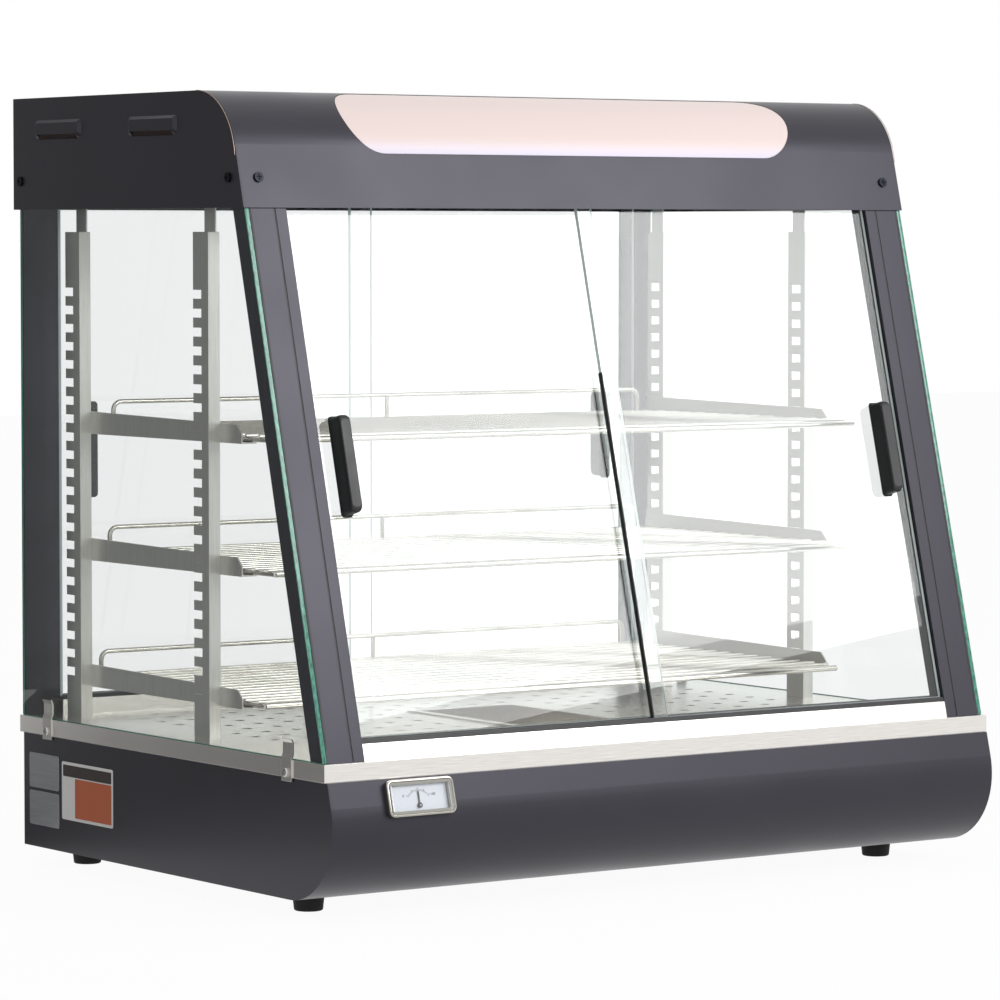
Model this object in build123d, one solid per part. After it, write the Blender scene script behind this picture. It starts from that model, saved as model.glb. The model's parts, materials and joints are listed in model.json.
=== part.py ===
from build123d import *
from math import atan, cos, degrees, sin, tan, radians, sqrt
import os

os.makedirs("parts", exist_ok=True)

# Countertop food display case, in millimetres.
# X is right seen from the front, the front faces -Y, Z is up, the feet stand on z = 0.

# Overall
case_width = 660.0
tray_depth = 468.0
foot_height = 16.0
base_height = 94.5
tray_height = 14.0
glass_height = 422.0
canopy_height = 92.0
lean = atan(0.26)  # glass front, canopy face and base face lean alike

# Sheet and glass
sheet = 1.2
glass = 4.0
side_inset = 0.2  # side glass to canopy side

# Base
base_overhang = 1.2  # tray skirt outside the base
base_rear_inset = 4.3  # base back to tray edge
base_bend_inset = 51.0  # centre of the bottom bend to the front edge of the tray
base_bend_radius = 60.0
base_wrap_lap = 33.0  # wrap past the centre of its bend
base_flange = 20.0

# Canopy
canopy_overhang = 6.0  # canopy back past the tray edge
glass_foot_inset = 4.22  # foot of the leaning plane behind the front edge of the tray
canopy_bend_radius = 57.0
ceiling_lift = 31.5
ceiling_gap = 1.0
window_side = 106.0  # from the canopy side to the window
window_height = 68.0
window_low = 43.0
lens_thickness = 3.0
lens_margin = 8.0
lens_gap = 0.4
lens_recess = 0.3
louvre_width = 76.0
louvre_height = 15.0
louvre_rise = 2.2
louvre_lip = 3.2
louvre_insets = (75.0, 225.0)  # from the canopy back
louvre_centre_lift = 66.0
lamp_radius = 8.0
lamp_short = 18.0  # lamp shorter than the window
lamp_inset = 63.3  # behind the foot of the canopy face
lamp_lift = 56.0
holder_length = 12.0
holder_width = 24.0

# Pillars
pillar_width = 34.0
pillar_depth = 20.0
rear_pillar_depth = 4.0
groove_from_outside = 22.5
groove_width = 1.6
groove_depth = 0.6

# Sills, tracks and doors
sill_height = 13.0
sill_depth = 20.0
track_floor = 1.5
track_rib = 2.0
first_door_in = 3.0
door_pitch = 7.0
track_slot = 4.8
door_lap = 19.0
door_side_gap = 1.0
door_lift = 0.3
top_track_low = 6.0
rear_track_side = 30.0  # from the tray edge to the end of the rear tracks
handle_inset = 22.6  # handle centre to pillar
handle_width = 11.5
handle_depth = 16.0
handle_length = 80.5
handle_centre = 221.5
handle_round = 4.5
stop_gap = 1.5

# Rack posts
post_side = 24.7  # from the tray edge to the outer leg
post_width = 10.5
post_leg = 23.0
post_rear_inset = 63.5
post_spacing = 202.5
post_height = 403.5
notch_pitch = 15.0
notch_count = 22
notch_first = 39.0
notch_height = 7.0
notch_depth = 12.5
slot_setback = 6.0  # closed slots of the inner leg, behind the front of the post
hanger_width = 16.0
hanger_lap = 30.0

# Shelves and brackets
top_notch = 14  # notch that holds the top brackets, counted from the lowest
level_steps = 7  # notches between one shelf and the next
peg_lift = 11.4  # peg above the underside of its bracket
bracket_before = 32.0  # past the front post
bracket_after = 24.5  # past the front of the rear post
bracket_front_height = 15.0
bracket_rear_height = 19.0
bracket_flange = 13.0
bracket_chamfer = 7.0
peg_radius = 2.5
peg_length = 5.0
peg_play = 0.5
shelf_side = 6.6  # shelf end to bracket
shelf_depth = 290.0
shelf_reaches = (44.0, 37.0, 22.0)  # shelf front before the brackets, from the top down
wire_radius = 1.5
cross_radius = 2.0
front_rod_radius = 2.5
front_rod_lift = 0.6
wire_pitch = 19.5
weld = 0.6
first_wire = 11.0
fence_setback = 6.0
fence_height = 20.0
fence_side = 15.0

# Deck
hole_radius = 4.0
hole_pitch = 29.0
holes_x = 19
holes_y = 13
pan_width = 108.0
pan_length = 160.0
pan_depth = 30.0
pan_y = -15.0
pan_rim = 6.0
pan_clearance = 0.8

# Feet
foot_side = 44.0
foot_front_inset = 91.0
foot_rear_inset = 35.0
foot_top_radius = 13.0
foot_low_radius = 11.5
foot_screw_radius = 2.0
foot_head_radius = 4.5
foot_head_height = 3.0
foot_recess = 6.0

# Glass clips
clip_front_inset = 52.0
clip_rear_inset = 47.0
clip_width = 14.0
clip_top = 16.0
clip_bottom = 17.0
clip_screw_drop = 10.0
clip_screw_radius = 2.0
clip_head_radius = 3.8
clip_head_height = 2.2
screw_play = 0.1

# Canopy screws
canopy_screw_lift = 23.5
canopy_screw_front = 22.3  # behind the foot of the canopy face
canopy_screw_rear = 12.0
canopy_screw_side = 17.0
canopy_head_radius = 4.0
canopy_head_height = 1.6
canopy_screw_length = 5.0
canopy_screw_radius = 2.0

# Thermometer
gauge_side = 82.0
gauge_width = 62.0
gauge_height = 29.0
gauge_top_gap = 1.5
gauge_flange = 5.5
gauge_body_depth = 9.0
gauge_edge = 4.5
gauge_pocket = 1.5
dial_thickness = 0.6
needle_length = 11.0
needle_pin_radius = 0.6
needle_play = 0.05
lens_drop = 0.8
gauge_lens = 1.4

# Rear controls
knob_x = 150.0
switch_xs = (70.0, 20.0)
control_z = 63.0
knob_radius = 18.0
knob_reach = 18.0  # ends as far behind as the thermometer stands in front
knob_gap = 1.0
shaft_radius = 3.0
running_fit = 0.05
thermostat_size = (42.0, 30.0, 42.0)
switch_width = 15.0
switch_height = 30.0
switch_flange = 2.0
switch_depth = 20.0
switch_lip = 1.0
switch_play = 0.2
rocker_width = 9.0
rocker_half = 12.0
rocker_play = 0.5
rocker_tilt = 8.0
pivot_radius = 1.2
pivot_length = 1.2
switch_back = 4.0
gland_x = 240.0
gland_radius = 9.0
gland_neck = 7.0
gland_bore = 4.0
vent_count = 9
vent_width = 4.0
vent_height = 40.0
vent_pitch = 14.0
vent_x = -150.0

# Heating element
element_radius = 4.0
element_side = 90.0
element_inset = 106.0
element_rear_inset = 128.0
element_bend = 40.0
element_z = 104.0
element_bracket_xs = (-120.0, 150.0)
element_bracket_width = 20.0
element_bracket_thickness = 2.0
element_bracket_foot = 14.0

# Derived heights and planes
half_width = case_width / 2
base_z = foot_height
base_top_z = base_z + base_height
tray_z = base_top_z + tray_height
canopy_z = tray_z + glass_height
top_z = canopy_z + canopy_height
ceiling_z = canopy_z + ceiling_lift
tray_half = tray_depth / 2
rise = tan(lean)
sheet_along_y = sheet / cos(lean)
base_side_x = half_width - base_overhang
base_rear_y = tray_half - base_rear_inset
base_bend_y = base_bend_inset - tray_half
base_wrap_end_y = base_bend_y + base_wrap_lap
canopy_rear_y = tray_half + canopy_overhang
canopy_front_y = glass_foot_inset - tray_half - sheet_along_y + glass_height * rise
lamp_y = canopy_front_y + lamp_inset
window_width = case_width - 2 * window_side
lamp_length = window_width - lamp_short
louvre_ys = [canopy_rear_y - inset for inset in louvre_insets]
canopy_inner_x = half_width - sheet
glass_outer_x = canopy_inner_x - side_inset
pillar_outer_x = glass_outer_x - glass
pillar_inner_x = pillar_outer_x - pillar_width
rear_track_half = half_width - rear_track_side
rear_pillar_y = tray_half - rear_pillar_depth
rear_sill_y = rear_pillar_y - sill_depth
sill_z = tray_z + sill_height
door_low_z = sill_z + track_floor + door_lift
top_track_z = canopy_z + top_track_low
door_top_z = top_track_z + 9.0
front_door_outer_x = pillar_inner_x - door_side_gap
rear_door_outer_x = rear_track_half - door_side_gap
handle_x = pillar_inner_x - handle_inset
post_outer_x = half_width - post_side
post_front_ys = (tray_half - post_rear_inset - post_spacing, tray_half - post_rear_inset)
bracket_front_y = post_front_ys[0] - bracket_before
bracket_rear_y = post_front_ys[1] + bracket_after
bracket_inner_x = post_outer_x - post_width - sheet
shelf_half = bracket_inner_x - shelf_side
shelf_fronts = [bracket_front_y - reach for reach in shelf_reaches]
fence_half = shelf_half - fence_side
foot_x = half_width - foot_side
foot_ys = (foot_front_inset - tray_half, tray_half - foot_rear_inset)
clip_ys = (clip_front_inset - tray_half, tray_half - clip_rear_inset)
canopy_screw_x = half_width - canopy_screw_side
canopy_screw_ys = (canopy_front_y + canopy_screw_front, canopy_rear_y - canopy_screw_rear)
gauge_x = gauge_side - half_width
element_half = half_width - element_side
element_ys = (element_inset - tray_half, tray_half - element_rear_inset)
door_travel = handle_x - handle_width / 2 - door_lap / 2 - stop_gap


def slope_y(z, behind=0.0):
    """Y of the leaning front plane at height z, moved back by a distance along Y."""
    return canopy_front_y + sheet_along_y + (z - canopy_z) * rise + behind


def box(x0, x1, y0, y1, z0, z1):
    """Block between two corners."""
    centre = Location(((x0 + x1) / 2, (y0 + y1) / 2, (z0 + z1) / 2))
    return centre * Box(abs(x1 - x0), abs(y1 - y0), abs(z1 - z0))


def plate_yz(points, x0, x1):
    """Outline in Y and Z carried along X."""
    face = make_face(Polyline(*[(0, y, z) for y, z in points], close=True))
    return Pos(min(x0, x1), 0, 0) * extrude(face, abs(x1 - x0), dir=(1, 0, 0))


def slanted(x0, x1, near, far, z0, z1):
    """Slab that leans with the front, between two distances behind the slope."""
    points = [
        (slope_y(z0, near), z0),
        (slope_y(z1, near), z1),
        (slope_y(z1, far), z1),
        (slope_y(z0, far), z0),
    ]
    return plate_yz(points, x0, x1)


def rod(radius, start, end):
    """Round bar between two points."""
    line = Vector(*end) - Vector(*start)
    plane = Plane(origin=start, z_dir=line)
    return plane * Cylinder(radius, line.length, align=(Align.CENTER, Align.CENTER, Align.MIN))


def joined(pieces):
    """One solid from overlapping pieces."""
    return pieces[0].fuse(*pieces[1:])


def group(pieces):
    """Several separate solids of one kind."""
    return Compound(children=[solid for piece in pieces for solid in piece.solids()])


def mirrored(shape):
    """The same shape on the other side."""
    return mirror(shape, about=Plane.YZ)


def yz_face(edges):
    """Face from lines and arcs drawn in Y and Z."""
    return make_face(Wire(edges))


def base_outline(inset):
    """Side view of the base: flat rear, leaning front and one round bottom bend."""
    radius = base_bend_radius - inset
    bend_z = base_z + base_bend_radius
    low_z = base_z + inset
    start_y = base_bend_y - radius * cos(lean)
    start_z = bend_z + radius * sin(lean)
    top_y = start_y + (base_top_z - start_z) * rise
    rear_y = base_rear_y - inset
    middle = radians(45) - lean / 2
    arc = ThreePointArc(
        (0, start_y, start_z),
        (0, base_bend_y - radius * cos(middle), bend_z - radius * sin(middle)),
        (0, base_bend_y, low_z),
    )
    corners = [(0, base_bend_y, low_z), (0, rear_y, low_z), (0, rear_y, base_top_z), (0, top_y, base_top_z)]
    front = Line((0, top_y, base_top_z), (0, start_y, start_z))
    return yz_face([arc, *Polyline(*corners).edges(), front])


def canopy_bend_y():
    """Y where the flat canopy top meets its bend."""
    corner_y = canopy_front_y + canopy_height * rise
    return corner_y + canopy_bend_radius * tan((radians(90) - lean) / 2)


def canopy_outline(inset):
    """Side view of the canopy: flat top, one round bend and a leaning face."""
    radius = canopy_bend_radius - inset
    high_z = top_z - inset
    bend_y = canopy_bend_y()
    bend_z = top_z - canopy_bend_radius
    end_y = bend_y - radius * cos(lean)
    end_z = bend_z + radius * sin(lean)
    low_y = end_y - (end_z - canopy_z) * rise
    middle = (radians(90) + lean) / 2
    arc = ThreePointArc(
        (0, bend_y, high_z),
        (0, bend_y - radius * cos(middle), bend_z + radius * sin(middle)),
        (0, end_y, end_z),
    )
    rear_y = canopy_rear_y - inset
    face = Line((0, end_y, end_z), (0, low_y, canopy_z))
    corners = [(0, low_y, canopy_z), (0, rear_y, canopy_z), (0, rear_y, high_z), (0, bend_y, high_z)]
    return yz_face([arc, face, *Polyline(*corners).edges()])


def along_x(face, x0, x1):
    """Side view carried from x0 to x1."""
    return Pos(x0, 0, 0) * extrude(face, x1 - x0, dir=(1, 0, 0))


def gauge_plane():
    """Plane on the leaning base face where the thermometer sits, its Z outwards."""
    bend_z = base_z + base_bend_radius
    start_y = base_bend_y - base_bend_radius * cos(lean)
    start_z = bend_z + base_bend_radius * sin(lean)
    centre_z = base_top_z - gauge_top_gap - gauge_height / 2 * cos(lean)
    centre_y = start_y + (centre_z - start_z) * rise
    return Plane(origin=(gauge_x, centre_y, centre_z), x_dir=(1, 0, 0), z_dir=(0, -cos(lean), sin(lean)))


def base_front_wrap():
    inner_x = base_side_x - sheet
    ring = along_x(base_outline(0), -inner_x, inner_x)
    ring = ring - along_x(base_outline(sheet), -inner_x - 1, inner_x + 1)
    keep_low = box(-inner_x, inner_x, -tray_depth, base_wrap_end_y, base_z, base_top_z)
    wrap = ring & keep_low
    top_front = base_bend_y - base_bend_radius * cos(lean)
    flange_y = top_front + base_flange
    flange = along_x(base_outline(0), -inner_x, inner_x)
    flange = flange & box(-inner_x, inner_x, -tray_depth, flange_y, base_top_z - sheet, base_top_z)
    wrap = wrap + flange
    cut_width = gauge_width - gauge_edge
    cut_height = gauge_height - gauge_edge
    return wrap - gauge_plane() * Box(cut_width, cut_height, gauge_body_depth * 2)


def clip_screw_hole(side, y):
    """Bore for one clip screw through skirt, clip and base side."""
    z = tray_z - clip_screw_drop
    radius = clip_screw_radius + screw_play
    return rod(radius, (side * (half_width - 8), y, z), (side * (half_width + 5), y, z))


def base_side():
    """Right-hand side panel with the tab that carries the tray."""
    panel = along_x(base_outline(0), base_side_x - sheet, base_side_x)
    tab = box(base_side_x - sheet, base_side_x, -tray_half + sheet, base_rear_y, base_top_z, tray_z - sheet)
    panel = panel + tab
    for y in clip_ys:
        panel = panel - clip_screw_hole(1, y)
    return panel


def control_cuts():
    """Openings of the rear panel for knob, switches and gland."""
    reach = (base_rear_y - 10, base_rear_y + 10)
    cuts = [rod(shaft_radius + running_fit, (knob_x, reach[0], control_z), (knob_x, reach[1], control_z))]
    half_x = switch_width / 2 - switch_lip
    half_z = switch_height / 2 - switch_lip
    for x in switch_xs:
        cuts.append(box(x - half_x, x + half_x, *reach, control_z - half_z, control_z + half_z))
    cuts.append(rod(gland_neck, (gland_x, reach[0], control_z), (gland_x, reach[1], control_z)))
    half_z = vent_height / 2
    for i in range(vent_count):
        x = vent_x + (i - (vent_count - 1) / 2) * vent_pitch
        cuts.append(box(x, x + vent_width, *reach, control_z - half_z, control_z + half_z))
    return cuts


def base_rear_panel():
    inner_x = base_side_x - sheet
    panel = box(-inner_x, inner_x, base_rear_y - sheet, base_rear_y, base_z + sheet, tray_z - sheet)
    for cut in control_cuts():
        panel = panel - cut
    return panel


def base_bottom_plate():
    inner_x = base_side_x - sheet
    plate = box(-inner_x, inner_x, base_wrap_end_y, base_rear_y, base_z, base_z + sheet)
    for x in (-foot_x, foot_x):
        for y in foot_ys:
            plate = plate - rod(foot_screw_radius + screw_play, (x, y, 0), (x, y, base_z + 9))
    return plate


def feet():
    pieces = []
    for x in (-foot_x, foot_x):
        for y in foot_ys:
            cone = Cone(foot_low_radius, foot_top_radius, foot_height)
            foot = Pos(x, y, foot_height / 2) * cone
            foot = foot - rod(foot_screw_radius + screw_play, (x, y, -1), (x, y, foot_height + 1))
            foot = foot - rod(foot_head_radius + screw_play, (x, y, -1), (x, y, foot_recess))
            pieces.append(foot)
    return group(pieces)


def foot_screws():
    pieces = []
    for x in (-foot_x, foot_x):
        for y in foot_ys:
            head = rod(foot_head_radius, (x, y, foot_recess - foot_head_height), (x, y, foot_recess))
            shank = rod(foot_screw_radius, (x, y, foot_recess), (x, y, foot_height + 6))
            pieces.append(head + shank)
    return group(pieces)


def deck_tray():
    """Stainless deck: punched top and down-turned skirt."""
    outer = box(-half_width, half_width, -tray_half, tray_half, base_top_z, tray_z)
    inner_x = half_width - sheet
    inner_y = tray_half - sheet
    tray = outer - box(-inner_x, inner_x, -inner_y, inner_y, base_top_z - 1, tray_z - sheet)
    pan_x = pan_width / 2 - pan_rim
    pan_half = pan_length / 2 - pan_rim
    pan_cut = Pos(0, pan_y, 0) * Rectangle(2 * pan_x, 2 * pan_half)
    holes = Sketch() + [Pos(x, y, 0) * Circle(hole_radius) for x, y in deck_holes()]
    tray = tray - Pos(0, 0, tray_z - 2 * sheet) * extrude(pan_cut + holes, 3 * sheet)
    for side in (-1, 1):
        for y in clip_ys:
            tray = tray - clip_screw_hole(side, y)
    return tray


def deck_holes():
    """Centres of the punched holes: a square grid that keeps off the pan."""
    places = []
    for i in range(holes_x):
        for j in range(holes_y):
            x = (i - (holes_x - 1) / 2) * hole_pitch
            y = (j - (holes_y - 1) / 2) * hole_pitch
            near_pan_x = abs(x) < pan_width / 2 + 2 * hole_radius
            near_pan_y = abs(y - pan_y) < pan_length / 2 + 2 * hole_radius
            if not (near_pan_x and near_pan_y):
                places.append((x, y))
    return places


def water_pan():
    half_x = pan_width / 2
    half_y = pan_length / 2
    rim = box(-half_x, half_x, pan_y - half_y, pan_y + half_y, tray_z, tray_z + sheet)
    well_x = half_x - pan_rim - pan_clearance
    well_y = half_y - pan_rim - pan_clearance
    well = box(-well_x, well_x, pan_y - well_y, pan_y + well_y, tray_z - pan_depth, tray_z + sheet)
    inner_x = well_x - sheet
    inner_y = well_y - sheet
    floor_z = tray_z - pan_depth + sheet
    hollow = box(-inner_x, inner_x, pan_y - inner_y, pan_y + inner_y, floor_z, tray_z + 5)
    return rim + well - hollow


def heating_element():
    points = [
        (-element_half, element_ys[0], element_z),
        (element_half, element_ys[0], element_z),
        (element_half, element_ys[1], element_z),
        (-element_half, element_ys[1], element_z),
    ]
    path = FilletPolyline(*points, radius=element_bend)
    profile = Plane(origin=points[0], z_dir=(1, 0, 0)) * Circle(element_radius)
    return sweep(profile, path=path)


def element_brackets():
    pieces = []
    half = element_bracket_width / 2
    thickness = element_bracket_thickness
    low = base_z + sheet
    for x in element_bracket_xs:
        for y in element_ys:
            upright = box(x, x + thickness, y - half, y + half, low, element_z - element_radius)
            foot = box(x, x + element_bracket_foot, y - half, y + half, low, low + thickness)
            pieces.append(upright + foot)
    return group(pieces)


def front_pillar():
    """Right-hand front pillar: folded channel with a groove along its face."""
    high = ceiling_z
    face = slanted(pillar_inner_x, pillar_outer_x, 0, 1.5, tray_z, high)
    flanks = [
        slanted(pillar_inner_x, pillar_inner_x + sheet, 1.5, pillar_depth, tray_z, high),
        slanted(pillar_outer_x - sheet, pillar_outer_x, 1.5, pillar_depth, tray_z, high),
    ]
    pillar = face + flanks
    groove_x = pillar_outer_x - groove_from_outside
    pillar = pillar - slanted(groove_x - groove_width, groove_x, -1, groove_depth, tray_z - 1, high + 1)
    return pillar - front_screw_bore(1)


def front_screw_seat(side):
    """Point on the leaning canopy face under a screw head."""
    z = canopy_z + canopy_screw_lift
    return Vector(side * canopy_screw_x, slope_y(z) - sheet_along_y, z)


def front_screw_bore(side):
    """Bore for a screw square to the leaning canopy face."""
    step = Vector(0, -cos(lean), sin(lean)) * 8
    centre = front_screw_seat(side)
    return rod(canopy_screw_radius + screw_play, tuple(centre - step), tuple(centre + step))


def rear_pillar():
    """Right-hand rear pillar: shallow folded strip."""
    high = ceiling_z
    face = box(pillar_inner_x, pillar_outer_x, rear_pillar_y, rear_pillar_y + sheet, tray_z, high)
    pillar = face
    for x in (pillar_inner_x, pillar_outer_x - sheet):
        pillar = pillar + box(x, x + sheet, rear_pillar_y + sheet, tray_half, tray_z, high)
    return pillar


def side_glass():
    """Right-hand pane: upright rear edge and leaning front edge."""
    high = canopy_z + 13.0
    rear_y = tray_half - 2
    points = [(slope_y(tray_z), tray_z), (slope_y(high), high), (rear_y, high), (rear_y, tray_z)]
    return plate_yz(points, pillar_outer_x, glass_outer_x)


def glass_clips():
    """Four sprung strips, bent out over the tray edge."""
    inner = glass_outer_x
    outer = half_width
    low = tray_z - clip_bottom
    high = tray_z + clip_top
    points = [
        (outer, low),
        (outer, tray_z + 0.2),
        (inner, tray_z + 4),
        (inner, high - 3),
        (inner + 1.5, high),
        (inner + 1.5 + sheet, high),
        (inner + sheet, high - 3),
        (inner + sheet, tray_z + 4.6),
        (outer + sheet, tray_z + 0.8),
        (outer + sheet, low),
    ]
    pieces = []
    for y in clip_ys:
        face = make_face(Polyline(*[(x, 0, z) for x, z in points], close=True))
        strip = Pos(0, y + clip_width / 2, 0) * extrude(face, clip_width, dir=(0, -1, 0))
        strip = strip - clip_screw_hole(1, y)
        pieces.append(strip)
        pieces.append(mirrored(strip))
    return group(pieces)


def clip_screws():
    pieces = []
    z = tray_z - clip_screw_drop
    start = half_width + sheet
    for y in clip_ys:
        head = rod(clip_head_radius, (start, y, z), (start + clip_head_height, y, z))
        edge = head.edges().filter_by(GeomType.CIRCLE).sort_by(Axis.X)[-1]
        head = fillet(edge, clip_head_height * 0.6)
        socket = Plane(origin=(start + 0.8, y, z), z_dir=(1, 0, 0)) * extrude(RegularPolygon(1.6, 6), 4)
        shank = rod(clip_screw_radius, (half_width - 6, y, z), (start, y, z))
        screw = head - socket + shank
        pieces.append(screw)
        pieces.append(mirrored(screw))
    return group(pieces)


def window_cutter(grow=0.0):
    """Stadium through the bend, square to the middle of the curve."""
    low_z = canopy_z + window_low
    low_y = canopy_front_y + window_low * rise
    half = window_height / 2 * sqrt(0.5)
    centre = (0, low_y + half, low_z + half)
    plane = Plane(origin=centre, x_dir=(1, 0, 0), z_dir=(0, -1, 1))
    shape = SlotOverall(window_width + 2 * grow, window_height + 2 * grow)
    return plane * extrude(shape, 40, both=True)


def canopy_wrap():
    ring = along_x(canopy_outline(0), -canopy_inner_x, canopy_inner_x)
    ring = ring - along_x(canopy_outline(sheet), -half_width, half_width)
    inside_z = top_z - sheet
    low_face_y = canopy_front_y + sheet_along_y
    past = canopy_rear_y + 1
    ring = ring - box(-half_width, half_width, low_face_y, past, canopy_z - 1, canopy_z + sheet)
    rear = box(-half_width, half_width, canopy_rear_y - sheet, past, canopy_z - 1, inside_z)
    wrap = ring - rear - window_cutter()
    for side in (-1, 1):
        wrap = wrap - front_screw_bore(side)
    return wrap


def louvre(y):
    """Pressed hood on the right-hand side, open below, and the slot behind it."""
    middle = canopy_z + louvre_centre_lift
    half = louvre_height / 2
    base = Plane(origin=(half_width, y, middle), x_dir=(0, 1, 0), z_dir=(1, 0, 0))
    foot = RectangleRounded(louvre_width, louvre_height, 4)
    crown = RectangleRounded(louvre_width - 8, louvre_height - 5, 3)
    hood = loft([base * foot, base.offset(louvre_rise) * crown])
    inner = base.offset(-sheet - 1) * extrude(crown, louvre_rise + sheet)
    mouth = box(
        half_width - sheet - 1,
        half_width + louvre_rise + 1,
        y - louvre_width / 2 + 6,
        y + louvre_width / 2 - 6,
        middle - half - 1,
        middle - half + louvre_lip,
    )
    return hood, inner, mouth


def canopy_side():
    """Right-hand canopy panel with two louvres."""
    panel = along_x(canopy_outline(0), canopy_inner_x, half_width)
    for y in louvre_ys:
        hood, inner, mouth = louvre(y)
        panel = panel + hood - inner - mouth
    z = canopy_z + canopy_screw_lift
    radius = canopy_screw_radius + screw_play
    for y in canopy_screw_ys:
        panel = panel - rod(radius, (half_width - 5, y, z), (half_width + 5, y, z))
    return panel


def canopy_rear_panel():
    rear_y = canopy_rear_y
    panel = box(-canopy_inner_x, canopy_inner_x, rear_y - sheet, rear_y, canopy_z, top_z - sheet)
    z = canopy_z + canopy_screw_lift
    radius = canopy_screw_radius + screw_play
    for x in (-canopy_screw_x, canopy_screw_x):
        panel = panel - rod(radius, (x, rear_y - 5, z), (x, rear_y + 5, z))
    return panel


def canopy_ceiling():
    front_y = slope_y(ceiling_z + sheet) + ceiling_gap
    rear_y = canopy_rear_y - sheet
    return box(-canopy_inner_x, canopy_inner_x, front_y, rear_y, ceiling_z, ceiling_z + sheet)


def screw_along(start, direction, length):
    """Pan-head screw: the head stands out from start, the shank goes in, with a cross recess."""
    out = Vector(*direction)
    head_end = Vector(*start) + out * canopy_head_height
    head = rod(canopy_head_radius, start, tuple(head_end))
    shank = rod(canopy_screw_radius, tuple(Vector(*start) - out * length), start)
    cross_plane = Plane(origin=tuple(Vector(*start) + out * 0.6), z_dir=out)
    cross = Rectangle(4.4, 0.9) + Rectangle(0.9, 4.4)
    return head + shank - cross_plane * extrude(cross, 3)


def canopy_screws():
    pieces = []
    z = canopy_z + canopy_screw_lift
    for side in (-1, 1):
        for y in canopy_screw_ys:
            pieces.append(screw_along((side * half_width, y, z), (side, 0, 0), canopy_screw_length))
        seat = tuple(front_screw_seat(side))
        pieces.append(screw_along(seat, (0, -cos(lean), sin(lean)), canopy_screw_length))
        rear_seat = (side * canopy_screw_x, canopy_rear_y, z)
        pieces.append(screw_along(rear_seat, (0, 1, 0), canopy_screw_length))
    return group(pieces)


def light_window():
    """Diffuser that follows the bend behind the stadium opening, with a boss that fills it."""
    half = window_width / 2 + lens_margin
    ring = along_x(canopy_outline(sheet), -half, half)
    ring = ring - along_x(canopy_outline(sheet + lens_thickness), -half - 1, half + 1)
    low = canopy_z + window_low - lens_margin
    plate = ring & box(-half, half, -tray_depth, canopy_bend_y() + lens_margin, low, top_z)
    boss = along_x(canopy_outline(lens_recess), -half, half)
    boss = boss - along_x(canopy_outline(sheet + 0.5), -half - 1, half + 1)
    return plate + (boss & window_cutter(-lens_gap))


def lamp_tube():
    z = canopy_z + lamp_lift
    return rod(lamp_radius, (-lamp_length / 2, lamp_y, z), (lamp_length / 2, lamp_y, z))


def lamp_holders():
    low = ceiling_z + sheet
    high = canopy_z + lamp_lift + lamp_radius + 2
    half = holder_width / 2
    pieces = []
    for side in (-1, 1):
        start = side * lamp_length / 2
        end = start + side * holder_length
        pieces.append(box(start, end, lamp_y - half, lamp_y + half, low, high))
    return group(pieces)


def track_ribs(depth_in):
    """Distances behind the face of the three ribs that make two door slots."""
    first = depth_in - (track_slot - glass) / 2
    second = first + door_pitch
    end = second + track_slot
    return [(first - track_rib, first), (first + track_slot, second), (end, end + track_rib)]


def front_sill():
    """Stainless sill in the slope plane, folded and open below."""
    inner = pillar_inner_x
    sill = slanted(-inner, inner, 0, sill_depth, tray_z, sill_z)
    return sill - slanted(-inner - 1, inner + 1, sheet, sill_depth - sheet, tray_z - 1, sill_z - sheet)


def rear_sill():
    half = rear_track_half
    rear = rear_pillar_y
    sill = box(-half, half, rear_sill_y, rear, tray_z, sill_z)
    return sill - box(-half - 1, half + 1, rear_sill_y + sheet, rear - sheet, tray_z - 1, sill_z - sheet)


def door_tracks():
    """Black two-slot tracks on both sills."""
    inner = pillar_inner_x
    half = rear_track_half
    floor_z = sill_z + track_floor
    high = floor_z + track_rib
    ribs = track_ribs(first_door_in)
    start = ribs[0][0]
    end = ribs[-1][1]
    front = slanted(-inner, inner, start, end, sill_z, floor_z)
    rear = box(-half, half, rear_sill_y + start, rear_sill_y + end, sill_z, floor_z)
    for near, far in ribs:
        front = front + slanted(-inner, inner, near, far, floor_z, high)
        rear = rear + box(-half, half, rear_sill_y + near, rear_sill_y + far, sill_z, high)
    return group([front, rear])


def top_tracks():
    """Tracks above both pairs of doors, hung from the ceiling."""
    inner = pillar_inner_x
    high = top_track_z + 10
    ribs = track_ribs(first_door_in)
    start = ribs[0][0]
    end = ribs[-1][1]
    half = rear_track_half
    front = slanted(-inner, inner, start, end, high, high + track_floor)
    rear = box(-half, half, rear_sill_y + start, rear_sill_y + end, high, ceiling_z)
    for near, far in ribs:
        front = front + slanted(-inner, inner, near, far, top_track_z, high)
        rear = rear + box(-half, half, rear_sill_y + near, rear_sill_y + far, top_track_z, high)
    front = front + slanted(-inner, inner, start + track_rib, start + 2 * track_rib, high, ceiling_z)
    return group([front, rear])


def front_door(side):
    """Front pane: the right one runs in the outer slot, the left one in the inner slot."""
    near = first_door_in if side > 0 else first_door_in + door_pitch
    edge = -side * door_lap / 2
    outer = side * front_door_outer_x
    return slanted(min(edge, outer), max(edge, outer), near, near + glass, door_low_z, door_top_z)


def rear_door(side):
    """Rear pane: the right one runs in the outer slot, the left one in the inner slot."""
    near = rear_door_y(side)
    edge = -side * door_lap / 2
    outer = side * rear_door_outer_x
    return box(edge, outer, near, near + glass, door_low_z, door_top_z)


def rear_door_y(side):
    return rear_sill_y + first_door_in + (door_pitch if side > 0 else 0)


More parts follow.
